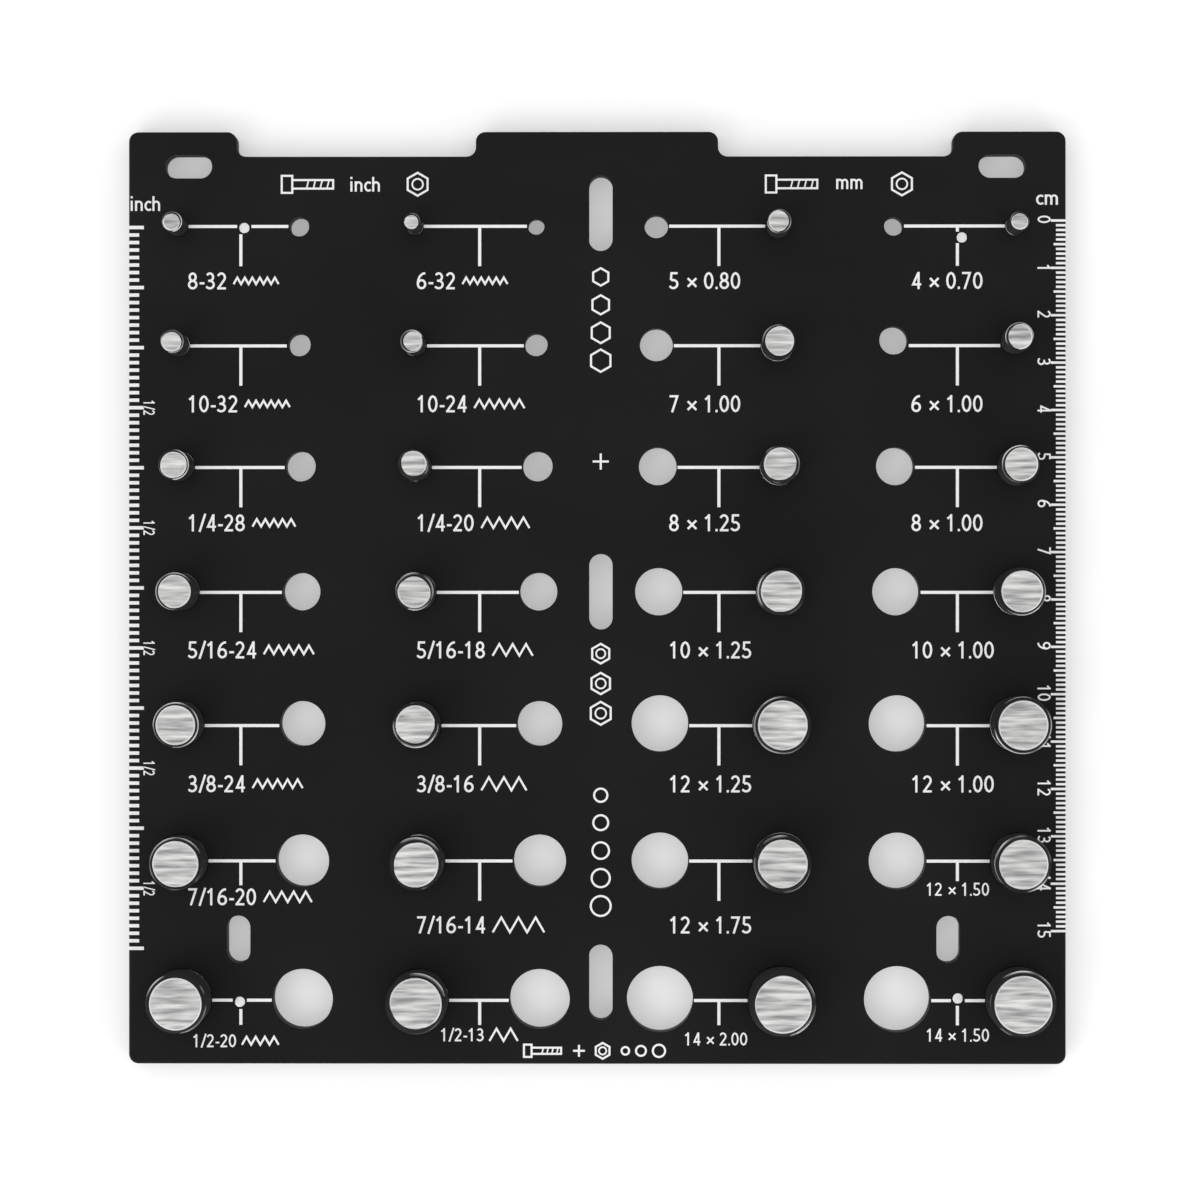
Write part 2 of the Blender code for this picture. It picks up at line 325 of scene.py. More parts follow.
def rim_rows(opening, low, high):
    """A wall with rounded rims: at each height the outline is drawn back by the rim's quarter circle."""
    share = np.linspace(0, np.pi / 2, opening.splits + 1)
    drawn_back = opening.rim * (1 - np.sin(share))
    below_top = opening.rim * (1 - np.cos(share))
    inset = np.concatenate([drawn_back, drawn_back[::-1]])
    height = np.concatenate([high - below_top, low + below_top[::-1]])
    flat = opening.points[None] - opening.outward[None] * inset[:, None, None]
    level = np.broadcast_to(height[:, None, None], (*flat.shape[:2], 1))
    return np.concatenate([flat, level], axis=2)


def plate_surface(openings, low, high):
    """Every rim as a grid of rows, and two flat faces between the first and the last rows of all rims."""
    points, faces, tops, bottoms = [], [], [], []
    start = 0
    for opening in openings:
        rows = rim_rows(opening, low, high)
        count = rows.shape[1]
        faces += (grid_faces(rows.shape[0], count, True) + start).tolist()
        tops.append(np.arange(count) + start)
        bottoms.append(np.arange(count) + start + (rows.shape[0] - 1) * count)
        points.append(rows.reshape(-1, 3))
        start += rows.shape[0] * count
    points = np.concatenate(points)
    triangles = np.array(tessellate_polygon([[Vector(points[index]) for index in top] for top in tops]))
    faces += np.concatenate(tops)[triangles].tolist()
    faces += np.concatenate(bottoms)[triangles].tolist()
    return points, faces


def joined(shapes):
    """Several (points, faces) shapes as one."""
    points, faces, start = [], [], 0
    for shape_points, shape_faces in shapes:
        points.append(shape_points)
        faces += [[index + start for index in face] for face in shape_faces]
        start += len(shape_points)
    return np.concatenate(points), faces


def thread_wave(share, crest, root):
    """Radius across one pitch: a flat crest an eighth wide, a flank, a root a quarter wide, a flank."""
    return np.interp(share, THREAD_CORNERS, [crest, crest, root, root, crest])


def flat_end(row, radius, reach, ray, level):
    """A flat end inside the last row of a stud: rings at shares of its radius, and a fan to its middle."""
    steps = len(ray)
    shares = np.array([1.0, 1 - END_RIM / reach, END_RING_SHARE])
    rings = (np.minimum(radius, reach) * shares[:, None])[..., None] * ray
    rings[..., 2] = level
    points = np.concatenate([row, rings.reshape(-1, 3), [[0.0, 0.0, level]]])
    inner = np.arange(steps) + len(shares) * steps
    fan = np.stack([inner, np.roll(inner, -1), np.full(steps, len(points) - 1)], axis=1)
    return points, grid_faces(len(shares) + 1, steps, True).tolist() + fan.tolist()


def thread_surface(thread, depth_share, end_share, steps):
    """A right-hand thread: rows at fixed shares of the pitch climb one pitch a turn, held between the ends.

    The radius is the thread's wave at that height and angle, and no more than a cone at each end allows.
    The last column joins the first one pitch further up. Flat ends close the foot and the top.
    """
    crest, pitch = thread.radius, thread.pitch
    root = crest - depth_share * pitch
    end = crest * end_share
    top = thread.top - END_BREAK
    turns = int(np.ceil((top - thread.foot) / pitch)) + 2
    climb = (np.arange(turns)[:, None] + np.array(THREAD_ROWS)[None]).ravel() - 1
    angle = np.linspace(0, 2 * np.pi, steps, endpoint=False)
    height = thread.foot + pitch * (climb[:, None] + angle[None] / (2 * np.pi))
    height = np.clip(height, thread.foot, top)
    share = ((height - thread.foot) / pitch - angle[None] / (2 * np.pi)) % 1.0
    radius = thread_wave(share, crest, root)
    radius = np.minimum(radius, end + (thread.top - height))
    radius = np.minimum(radius, root + (height - thread.foot))
    ray = np.stack([np.cos(angle), np.sin(angle), 0 * angle], axis=1)
    rows = radius[..., None] * ray
    rows[..., 2] = height
    seam = np.arange(len(rows) - len(THREAD_ROWS) - 1)
    last, first = seam * steps + steps - 1, (seam + len(THREAD_ROWS)) * steps
    seam_faces = np.stack([last, first, first + steps, last + steps], axis=1)
    side = (rows.reshape(-1, 3), grid_faces(len(rows), steps, False).tolist() + seam_faces.tolist())
    top_end = flat_end(rows[-1], radius[-1], end, ray, thread.top)
    foot_end = flat_end(rows[0], radius[0], root, ray, thread.foot)
    points, faces = joined([side, top_end, foot_end])
    return points + np.array([thread.x, thread.y, 0.0]), faces


def turned_surface(x, y, profile, steps):
    """A profile of (radius, height), from the top's middle to the foot's middle, turned about Z."""
    profile = np.array(profile)
    angle = np.linspace(0, 2 * np.pi, steps, endpoint=False)
    radius, height = profile[:, 0][:, None], profile[:, 1][:, None]
    rows = np.stack([x + radius * np.cos(angle), y + radius * np.sin(angle), height + 0 * angle], axis=2)
    return rows.reshape(-1, 3), grid_faces(len(profile), steps, True).tolist()


# Flat shapes for the print


def stroke(path, width, closed=False):
    """Quads along a path: each point moves half the width to both sides, further where the path bends."""
    path = np.array(path, float)
    step = np.diff(np.concatenate([path, path[:1]]) if closed else path, axis=0)
    step /= np.linalg.norm(step, axis=1, keepdims=True)
    side = np.stack([-step[:, 1], step[:, 0]], axis=1)
    before = np.roll(side, 1, axis=0) if closed else np.concatenate([side[:1], side])
    after = side if closed else np.concatenate([side, side[-1:]])
    mitre = before + after
    mitre *= width / np.sum(mitre * mitre, axis=1, keepdims=True)
    right, left = path - mitre, path + mitre
    if closed:
        right, left = np.concatenate([right, right[:1]]), np.concatenate([left, left[:1]])
    return np.stack([right[:-1], right[1:], left[1:], left[:-1]], axis=1)


def sheet(strokes):
    """Overlapping quads as one flat sheet: the triangles between all their edges that lie in a quad."""
    corners = np.concatenate(strokes).reshape(-1, 2)
    size = np.abs(corners).max()
    quads = np.arange(len(corners)).reshape(-1, 4).tolist()
    found = delaunay_2d_cdt([Vector(corner / size) for corner in corners], [], quads, 0, SHEET_REACH)
    points, triangles, sources = found[0], found[2], found[5]
    inside = [triangle for triangle, source in zip(triangles, sources) if source]
    used, triangles = np.unique(inside, return_inverse=True)
    return np.array(points)[used] * size, triangles.reshape(-1, 3).tolist()


def flat_solid(flat, low, high):
    """A flat sheet given thickness: its triangles at both heights, and a wall on each outer edge."""
    points, triangles = flat
    triangles = np.array(triangles)
    count = len(points)
    edges = np.stack([triangles, np.roll(triangles, -1, axis=1)], axis=2).reshape(-1, 2)
    ahead, back = edges[:, 0] * count + edges[:, 1], edges[:, 1] * count + edges[:, 0]
    rim = edges[~np.isin(ahead, back)]
    walls = np.stack([rim[:, 0], rim[:, 1], rim[:, 1] + count, rim[:, 0] + count], axis=1)
    under = np.column_stack([points, np.full(count, low)])
    over = np.column_stack([points, np.full(count, high)])
    faces = triangles[:, ::-1].tolist() + walls.tolist() + (triangles + count).tolist()
    return np.concatenate([under, over]), faces


def tick_surface(lengths, y, width, side, edge_round, ink_height):
    """Ticks that run out over the plate's rounded edge, on the side with the given sign.

    Along a tick the ink is level up to where the round begins and then turns with it. Its under side is the
    plate's surface sunk by INK_SINK, its top the same surface raised by the ink's height.
    """
    turn = np.radians(np.concatenate([[0.0], np.linspace(0, TICK_WRAP, TICK_BENDS)]))
    reach = edge_round + np.array([-INK_SINK, -INK_SINK, ink_height, ink_height])
    aside = np.array([-1.0, 1.0, 1.0, -1.0]) * width / 2
    shape = (len(y), len(turn), len(reach))
    x = np.broadcast_to(HALF_WIDTH - edge_round + np.sin(turn)[:, None] * reach, shape).copy()
    x[:, 0] = (HALF_WIDTH - lengths)[:, None]
    z = np.broadcast_to(FACE - edge_round + np.cos(turn)[:, None] * reach, shape)
    across = np.broadcast_to(y[:, None, None] + aside, shape)
    points = np.stack([side * x, across, z], axis=-1).reshape(-1, 3)
    size = len(turn) * len(reach)
    ends = np.array([[0, 1, 2, 3], [size - 4, size - 3, size - 2, size - 1]])
    tube = np.concatenate([grid_faces(len(turn), len(reach), True), ends])
    faces = tube[None] + np.arange(len(y))[:, None, None] * size
    return points, faces.reshape(-1, 4).tolist()


# Digits and letters, where a digit is one high


STROKE_SHARE = 0.125
DIGIT_STEP = 0.66
ARC_POINTS = 13


def arc(x, y, reach_x, reach_y, start, end, *more):
    """Points on an ellipse about (x, y) from one angle to another in degrees, and any further points."""
    turn = np.radians(np.linspace(start, end, ARC_POINTS))
    points = np.stack([x + reach_x * np.cos(turn), y + reach_y * np.sin(turn)], axis=1)
    return np.concatenate([points, *[[point] for point in more]])


def oval(x, y, reach_x, reach_y):
    """A closed ellipse."""
    return arc(x, y, reach_x, reach_y, 0, 360)[:-1]


def arch(x, y, reach_x, reach_y):
    """The upper half of an ellipse from left to right, and a leg down from there."""
    return arc(x, y, reach_x, reach_y, 180, 0, (x + reach_x, 0.0))


def letter_stem(height):
    """A letter's first upright, or a dot where it is low."""
    return [(0.08, 0.0), (0.08, height)]


def sign(step, *paths, loops=()):
    """A sign's step to the next one, and its open and closed strokes as one flat sheet."""
    strokes = [stroke(path, STROKE_SHARE) for path in paths]
    strokes += [stroke(path, STROKE_SHARE, True) for path in loops]
    return Sign(step, *sheet(strokes))


SIGNS = {
    "0": sign(DIGIT_STEP, loops=[oval(0.28, 0.5, 0.22, 0.4375)]),
    "1": sign(DIGIT_STEP, [(0.29, 0.0), (0.29, 1.0)], [(0.08, 0.74), (0.29, 0.915)]),
    "2": sign(
        DIGIT_STEP,
        arc(0.265, 0.70, 0.205, 0.2375, 160, -35, (0.085, 0.0625)),
        [(0.02, 0.0625), (0.53, 0.0625)],
    ),
    "3": sign(
        DIGIT_STEP,
        arc(0.25, 0.7225, 0.19, 0.215, 150, -90),
        arc(0.245, 0.2825, 0.235, 0.22, 90, -150),
        [(0.15, 0.505), (0.26, 0.505)],
    ),
    "4": sign(DIGIT_STEP, [(0.42, 0.0), (0.42, 1.0)], [(0.40, 0.95), (0.10, 0.2725), (0.57, 0.2725)]),
    "5": sign(
        DIGIT_STEP,
        [(0.49, 0.9375), (0.13, 0.9375), (0.105, 0.53)],
        arc(0.24, 0.30, 0.24, 0.2375, 118, -150),
    ),
    "6": sign(DIGIT_STEP, arc(0.47, 0.31, 0.41, 0.6275, 86, 180), loops=[oval(0.28, 0.30, 0.22, 0.2375)]),
    "7": sign(DIGIT_STEP, [(0.02, 0.9375), (0.475, 0.9375), (0.17, 0.0)]),
    "8": sign(DIGIT_STEP, loops=[oval(0.28, 0.7225, 0.18, 0.215), oval(0.28, 0.2825, 0.22, 0.22)]),
    "9": sign(DIGIT_STEP, arc(0.09, 0.69, 0.41, 0.6275, -94, 0), loops=[oval(0.28, 0.70, 0.22, 0.2375)]),
    "-": sign(0.38, [(0.03, 0.36), (0.31, 0.36)]),
    "/": sign(0.42, [(0.02, -0.03), (0.36, 1.03)]),
    "×": sign(0.72, [(0.10, 0.14), (0.60, 0.64)], [(0.10, 0.64), (0.60, 0.14)]),
    ".": sign(0.25, letter_stem(0.14)),
    " ": Sign(0.33, np.empty((0, 2)), []),
    "i": sign(0.27, letter_stem(0.70), [(0.08, 0.86), (0.08, 1.0)]),
    "n": sign(0.60, letter_stem(0.70), arch(0.255, 0.43, 0.175, 0.2075)),
    "c": sign(0.48, arc(0.27, 0.345, 0.205, 0.285, 48, 312)),
    "h": sign(0.60, letter_stem(1.0), arch(0.255, 0.43, 0.175, 0.2075)),
    "m": sign(0.88, letter_stem(0.70), arch(0.235, 0.45, 0.155, 0.1875), arch(0.545, 0.45, 0.155, 0.1875)),
}


def lettering(words, height, spot, stretch=1.0, turn=0.0, from_left=False):
    """Signs side by side on a line, scaled, turned, and placed by their middle or by their left foot."""
    signs = [SIGNS[name] for name in words]
    places = np.cumsum([0.0] + [one.step for one in signs])
    points, faces = joined([(one.points + [place, 0.0], one.faces) for one, place in zip(signs, places)])
    if not from_left:
        points = points - (points.min(axis=0) + points.max(axis=0)) / 2
    points = points * height * np.array([stretch, 1.0])
    along, upward = np.array([np.cos(turn), np.sin(turn)]), np.array([-np.sin(turn), np.cos(turn)])
    return np.array(spot) + points[:, :1] * along + points[:, 1:] * upward, faces


# Pieces


def new_object(name, data):
    """An object at the origin, in the scene."""
    made = bpy.data.objects.new(name, data)
    bpy.context.scene.collection.objects.link(made)
    return made


def new_piece(name, shape, finishes, sharp_degrees):
    """A mesh object at the origin from (points, faces), merged, its faces outwards, with its finishes."""
    points, faces = shape
    mesh = bpy.data.meshes.new(name)
    mesh.from_pydata(points.tolist(), [], faces)
    work = bmesh.new()
    work.from_mesh(mesh)
    bmesh.ops.remove_doubles(work, verts=work.verts, dist=MERGE_REACH)
    bmesh.ops.dissolve_degenerate(work, edges=work.edges, dist=SHORTEST_EDGE)
    bmesh.ops.recalc_face_normals(work, faces=work.faces)
    work.to_mesh(mesh)
    work.free()
    mesh.shade_smooth()
    mesh.set_sharp_from_angle(angle=np.radians(sharp_degrees))
    for finish in finishes:
        mesh.materials.append(finish)
    piece = new_object(name, mesh)
    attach(piece, "root")
    return piece


def vectors(items, name):
    """One vector of each of a mesh's vertices or faces, as an array."""
    values = np.empty(len(items) * 3, np.float32)
    items.foreach_get(name, values)
    return values.reshape(-1, 3)


def keep_flat(mesh):
    """Shade faces that lie level as flat, so that the rims' rounding doesn't bleed into them."""
    level = np.abs(vectors(mesh.polygons, "normal")[:, 2]) > LEVEL_NORMAL
    flags = mesh.attributes.get("sharp_face") or mesh.attributes.new("sharp_face", "BOOLEAN", "FACE")
    flags.data.foreach_set("value", level)


def store_shares(mesh, name, values):
    """Keep a number for each vertex on the mesh, for its finish to read."""
    layer = mesh.attributes.new(name, "FLOAT", "POINT")
    layer.data.foreach_set("value", np.asarray(values, np.float32))


# Finishes


# The middle part of a noise's range, which is spread over a value
NOISE_LOW, NOISE_HIGH = 0.3, 0.7


def add_node(tree, kind, **values):
    """A shader node with its sockets and settings filled in by name."""
    made = tree.nodes.new(kind)
    for name, value in values.items():
        socket = name.replace("_", " ").title()
        if socket in made.inputs:
            made.inputs[socket].default_value = value
        else:
            setattr(made, name, value)
    return made


def fed_node(tree, kind, sources, output, **values):
    """The output of a shader node whose inputs are fed from the sources named for them."""
    made = add_node(tree, kind, **values)
    for socket, source in sources.items():
        tree.links.new(source, made.inputs[socket])
    return made.outputs[output]


def new_finish(name, **values):
    """A material with its shader's sockets filled in by name, and the place that patterns start from."""
    material = bpy.data.materials.new(name)
    material.use_nodes = True
    tree = material.node_tree
    shader = tree.nodes["Principled BSDF"]
    for socket, value in values.items():
        shader.inputs[socket].default_value = value
    return Finish(material, tree, shader, add_node(tree, "ShaderNodeTexCoord").outputs["Object"])


def noise(finish, scale, detail, stretch=(1.0, 1.0, 1.0)):
    """Noise on object coordinates, drawn out along an axis where its share is under one."""
    place = fed_node(finish.tree, "ShaderNodeMapping", {"Vector": finish.place}, "Vector", scale=stretch)
    return fed_node(finish.tree, "ShaderNodeTexNoise", {"Vector": place}, "Fac", scale=scale, detail=detail)


def spread(finish, value, low, high):
    """A noise value's middle part spread between two numbers."""
    ends = {"from_min": NOISE_LOW, "from_max": NOISE_HIGH, "to_min": low, "to_max": high}
    return fed_node(finish.tree, "ShaderNodeMapRange", {"Value": value}, "Result", **ends)


def kept_share(finish, name):
    """The number that the mesh keeps for each vertex under a name."""
    return add_node(finish.tree, "ShaderNodeAttribute", attribute_name=name).outputs["Fac"]


def combined(tree, operation, first, second):
    """Two values worked into one that is held from 0 to 1."""
    return fed_node(tree, "ShaderNodeMath", {0: first, 1: second}, 0, operation=operation, use_clamp=True)


def two_tone(finish, share, first, second):
    """A base colour between two, by a share that is held from 0 to 1."""
    mix = add_node(finish.tree, "ShaderNodeMix", data_type="RGBA")
    for colour, socket in ((first, mix.inputs[6]), (second, mix.inputs[7])):
        socket.default_value = (*colour, 1.0)
    finish.tree.links.new(share, mix.inputs[0])
    finish.tree.links.new(mix.outputs[2], finish.shader.inputs["Base Color"])


def roughness(finish, value, low, high):
    """A noise value spread over the roughness."""
    finish.tree.links.new(spread(finish, value, low, high), finish.shader.inputs["Roughness"])


def relief(finish, height, strength, distance):
    """A bump on the shader's normal."""
    depth = {"strength": strength, "distance": distance}
    bump = fed_node(finish.tree, "ShaderNodeBump", {"Height": height}, "Normal", **depth)
    finish.tree.links.new(bump, finish.shader.inputs["Normal"])


def patchy_tone(finish, scale, colour, low, high):
    """A base colour that varies in patches between two shares of itself."""
    patches = spread(finish, noise(finish, scale, 3.0), 0.0, 1.0)
    two_tone(finish, patches, *[[share * part for part in colour] for share in (low, high)])


def black_plate_finish(surface):
    """Matt black plastic: fine grain, faint cloudy tone and a slight sheen that varies as if wiped."""
    finish = new_finish("matt_black_plastic", **{"Specular IOR Level": surface.plate_sheen})
    patchy_tone(finish, 22.0, surface.plate_colour, 0.75, 1.25)
    roughness(finish, noise(finish, 60.0, 4.0, (0.25, 1.0, 1.0)), 0.50, 0.66)
    relief(finish, noise(finish, 2600.0, 2.0), 0.35, 0.02 * MM)
    return finish.material


def white_ink_finish(surface):
    """Screen-printed white: nearly even, with slightly thin patches and a soft surface."""
    finish = new_finish("white_ink")
    patchy_tone(finish, 700.0, surface.ink_colour, 0.93, 1.0)
    roughness(finish, noise(finish, 300.0, 2.0), 0.45, 0.62)
    relief(finish, noise(finish, 3500.0, 2.0), 0.2, 0.01 * MM)
    return finish.material


def thread_finish(surface):
    """Black-oxide steel, rubbed to bare metal in stretches along the crests, which an attribute marks."""
    finish = new_finish("black_oxide_thread", **{"Specular IOR Level": surface.oxide_sheen})
    stretches = spread(finish, noise(finish, 140.0, 1.0), -0.9, 1.7)
    rubbed = combined(finish.tree, "MULTIPLY", kept_share(finish, "crest"), stretches)
    two_tone(finish, rubbed, surface.oxide_colour, surface.steel_colour)
    finish.tree.links.new(rubbed, finish.shader.inputs["Metallic"])
    roughness(finish, noise(finish, 1500.0, 2.0), 0.34, 0.5)
    relief(finish, noise(finish, 5000.0, 2.0), 0.3, 0.01 * MM)
    return finish.material


def cut_end_finish(surface):
    """A linished steel end with a painted highlight round its rim: streaks across it, broad in tone and
    fine in relief.
    """
    finish = new_finish("linished_steel_end", Metallic=1.0)
    broad = spread(finish, noise(finish, 1080.0, 2.0, (0.10, 1.0, 1.0)), -0.03, 1.03)
    # Painted highlight: the marked rim takes the light streaks' colour all round, whatever the light
    streak_tone_and_rim_highlight = combined(finish.tree, "MAXIMUM", broad, kept_share(finish, "rim"))
    two_tone(finish, streak_tone_and_rim_highlight, surface.end_dark_colour, surface.end_light_colour)
    streaks = noise(finish, 4200.0, 3.0, (0.03, 1.0, 1.0))
    roughness(finish, streaks, 0.38, 0.52)
    relief(finish, streaks, 0.25, 0.015 * MM)
    return finish.material


def pin_finish(surface):
    """Bright drawn steel with a few fine marks."""
    finish = new_finish("bright_pin_steel", Metallic=1.0)
    patchy_tone(finish, 1400.0, surface.pin_colour, 0.8, 1.0)
    roughness(finish, noise(finish, 2500.0, 2.0), 0.3, 0.45)
    relief(finish, noise(finish, 3000.0, 2.0), 0.25, 0.01 * MM)
    return finish.material


# What a user would change


def measure(name, description, millimetre):
    """A length, given here in millimetres."""
    return FloatProperty(name=name, description=description, default=millimetre * MM, unit="LENGTH")


def plain(name, description, default):
    """A share or a strength."""
    return FloatProperty(name=name, description=description, default=default)


def tint(name, description, *default):
    """A colour in linear light."""
    return FloatVectorProperty(name=name, description=description, subtype="COLOR", default=default)


class BoardSurface(PropertyGroup):
    """Rounding, thread form and colours of the plate, studs and pins."""

    plate_corner: measure("Corner radius", "Radius of the plate's corners in plan", 2.0)
    plate_edge: measure("Edge round", "Rounding along the plate's outline", 0.6)
    hole_rim: measure("Hole rim", "Rounding at gauge holes and slots", 0.2)
    bore_rim: measure("Bore rim", "Rounding where a stud enters the plate", 0.12)
    pin_ring: measure("Pin ring", "Width of the bare black ring round each pin", 0.3)
    round_steps: IntProperty(name="Hole steps", description="Steps round a gauge hole", default=72)
    thread_steps: IntProperty(name="Thread steps", description="Steps round a stud", default=64)
    thread_depth: plain("Thread depth", "Depth of the thread as a share of its pitch", 0.6134)
    end_share: plain("End face", "Flat end of a stud as a share of its diameter", 0.84)
    plate_colour: tint("Plate", "Colour of the plate", 0.0055, 0.0055, 0.0056)
    plate_sheen: plain("Plate sheen", "Strength of the plate's reflection", 0.135)
    ink_colour: tint("Ink", "Colour of the print", 0.95, 0.95, 0.95)
    oxide_colour: tint("Oxide", "Colour of the studs' sides", 0.006, 0.006, 0.0062)
    oxide_sheen: plain("Oxide sheen", "Strength of the reflection on the studs' sides", 0.20)
    steel_colour: tint("Steel", "Colour of rubbed crests", 0.72, 0.72, 0.71)
    end_dark_colour: tint("End, dark", "Dark streaks on cut ends", 0.27, 0.27, 0.27)
    # The light streaks' colour is also the painted highlight round each cut end's rim
    end_light_colour: tint("End, light", "Light streaks on cut ends", 0.74, 0.74, 0.73)
    pin_colour: tint("Pin", "Colour of the pins", 0.80, 0.80, 0.79)


class BoardPrint(PropertyGroup):
    """Sizes of the white print."""

    ink_height: measure("Ink height", "How far the print stands up", 0.04)
    line_width: measure("Line width", "Width of the lines between studs and holes", 0.64)
    stem_length: measure("Stem length", "Length of the stem under a line", 8.4)
    slot_stem_length: measure("Stem over a slot", "Length of the stem above the left low slot", 5.15)
    short_stem_length: measure("Short stem", "Length of the stem above the right low slot", 4.2)
    last_stem_length: measure("Last stem", "Length of a stem in the last row", 5.2)
    digit_height: measure("Digit height", "Height of the thread sizes", 3.6)
    small_digit_height: measure("Small digits", "Height of the lowest thread sizes", 2.75)
    rule_digit_height: measure("Rule digits", "Height of the numbers on the centimetre rule", 2.8)
    half_mark_height: measure("Half marks", "Height of the half marks on the inch rule", 2.4)
    unit_height: measure("Unit height", "Height of the rules' units", 3.1)
    sign_width: measure("Sign line", "Line width of the signs", 0.42)


class BoardStage(PropertyGroup):
    """Light, floor and view."""

    view_distance: measure("View distance", "From the plate's face to the lens", 925.0)
    view_width: measure("View width", "Width of the view at the plate's face", 253.5)
    view_x: measure("View X", "Middle of the picture, right of the plate's middle", 0.645)
    view_y: measure("View Y", "Middle of the picture, above the plate's middle", -0.46)
    lens_x: measure("Lens X", "Lens to the right of the plate's middle", 12.0)
    lens_y: measure("Lens Y", "Lens above the plate's middle", -2.0)
    lens_turn: plain("Lens turn", "Turn of the camera to the left, in degrees", 0.45)
    softbox_size: measure("Softbox size", "Side of the lamp at the lower left", 1000.0)
    softbox_reach: measure("Softbox reach", "Lamp to the left of and below the plate", 850.0)
    softbox_height: measure("Softbox height", "Height of the lamp at the lower left", 1100.0)
    softbox_power: plain("Softbox power", "Power of the lamp at the lower left in watts", 4.8)
    edge_power: plain("Edge light power", "Power of the low lamp at the lower right", 0.5)
    sky_level: plain("Sky level", "Light from all round", 0.82)
    floor_colour: tint("Floor", "Colour of the floor", 0.80, 0.80, 0.80)
    floor_glow: plain("Floor glow", "White added where the floor is seen", 0.325)


# The plate


def slot_places():
    """Middle, length and direction of each slot."""
    corner_x = HALF_WIDTH - CORNER_SLOT_FROM_SIDE
    corner_y = HALF_HEIGHT - CORNER_SLOT_FROM_TOP
    centre_y = HALF_HEIGHT - CENTRE_SLOT_FROM_EDGE
    low_y = ROW_Y[LAST_ROW] + LOW_SLOT_ABOVE_LAST_ROW
    places = [(x + CORNER_SLOT_SHIFT, corner_y, CORNER_SLOT_LENGTH, False) for x in (-corner_x, corner_x)]
    for y in (centre_y, ROW_Y[CENTRE_SLOT_ROW], -centre_y):
        places.append((CENTRE_SLOT_SHIFT, y, CENTRE_SLOT_LENGTH, True))
    for thread, shift in zip((THREADS[LAST_ROW], THREADS[-1]), LOW_SLOT_SHIFTS):
        places.append((pair_x(thread) + shift, low_y, LOW_SLOT_LENGTH, True))
    return places


def new_opening(ring, rim, splits=RIM_SPLITS):
    """An opening from its ring of points and unit vectors, turned to point away from the plate."""
    points, ray = ring
    return Opening(points, -ray, rim, splits)


def opening_list(surface):
    """The plate's outline and every opening in it: holes, bores, pins' bores and slots."""
    steps = surface.round_steps
    outline = rounded_outline(plate_corners(), surface.plate_corner, CORNER_SPLITS)
    shapes = [Opening(*outline, surface.plate_edge, EDGE_SPLITS)]
    for thread in THREADS:
        hole = circle(hole_x(thread), thread.y, thread.radius, steps)
        bore = circle(thread.x, thread.y, thread.radius, steps)
        shapes += [new_opening(hole, surface.hole_rim), new_opening(bore, surface.bore_rim, BORE_SPLITS)]
    for pin in PINS:
        shapes.append(new_opening(circle(pin.x, pin.y, pin.radius, steps // 2), surface.pin_ring))
    for x, y, length, upright in slot_places():
        shapes.append(new_opening(slot(x, y, length, SLOT_WIDTH, upright, steps // 3), surface.hole_rim))
    return shapes


class BOARD_OT_plate(Operator):
    """Make the fine plate with its tabs, holes, bores and slots"""

    bl_idname = "board.plate"
    bl_label = "Plate"

    def execute(self, context):
        surface = context.scene.board_surface
        shape = plate_surface(opening_list(surface), PLATE_LOW[2], FACE)
        plate = new_piece("board_plate", shape, [black_plate_finish(surface)], sharp_degrees=40)
        keep_flat(plate.data)
        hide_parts("plate")
        return {"FINISHED"}


class BOARD_OT_studs(Operator):
    """Make the threaded studs with their bright cut ends"""

    bl_idname = "board.studs"
    bl_label = "Threaded studs"

    def execute(self, context):
        surface = context.scene.board_surface
        finishes = [thread_finish(surface), cut_end_finish(surface)]
        for thread in THREADS:
            self.make_stud(thread, surface, finishes)
        return {"FINISHED"}

    def make_stud(self, thread, surface, finishes):
        """One stud: its crests marked for wear, its end's rim marked for a painted highlight, its top and
        broken edge in the cut end's finish.
        """
        shape = thread_surface(thread, surface.thread_depth, surface.end_share, surface.thread_steps)
        name = thread.node.replace("stud_", "threaded_stud_")
        stud = new_piece(name, shape, finishes, sharp_degrees=25)
        places = vectors(stud.data.vertices, "co")
        reach = np.hypot(places[:, 0] - thread.x, places[:, 1] - thread.y)
        crest = np.clip(1.0 - (thread.radius - reach) / RUBBED_WIDTH, 0.0, 1.0)
        first_turn = thread.top - (1 - surface.end_share) * thread.radius
        handled = np.abs(places[:, 2] - first_turn) < WORN_TURN_SHARE * thread.pitch
        handled |= places[:, 2] < FACE + WORN_FOOT
        store_shares(stud.data, "crest", handled * crest)
        # Painted highlight: marks the outer edge of the cut end to show in the light streaks' colour
        store_shares(stud.data, "rim", (reach > RIM_HIGHLIGHT_FROM_SHARE * surface.end_share * thread.radius) * 1.0)
        cut = vectors(stud.data.polygons, "center")[:, 2] > thread.top - CUT_FACES_FROM_TOP
        stud.data.polygons.foreach_set("material_index", cut.astype(np.int32))
        keep_flat(stud.data)
        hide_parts(thread.node)


class BOARD_OT_pins(Operator):
    """Make the four small pins"""

    bl_idname = "board.pins"
    bl_label = "Pins"

    def execute(self, context):
        finish = pin_finish(context.scene.board_surface)
        share = np.linspace(0, np.pi / 2, PIN_DOME_POINTS)
        for node, x, y, radius, foot, top in PINS:
            inner = radius - PIN_DOME
            crown = np.stack([inner * np.sin(share), top - PIN_DOME * (1 - np.cos(share))], axis=1)
            side = [(radius, top - 2 * PIN_DOME), (radius, foot + PIN_DOME), (inner, foot), (0.0, foot)]
            shape = turned_surface(x, y, np.concatenate([crown, side]), PIN_STEPS)
            pin = new_piece(node + "_head", shape, [finish], sharp_degrees=50)
            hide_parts(node)
        return {"FINISHED"}


# The print


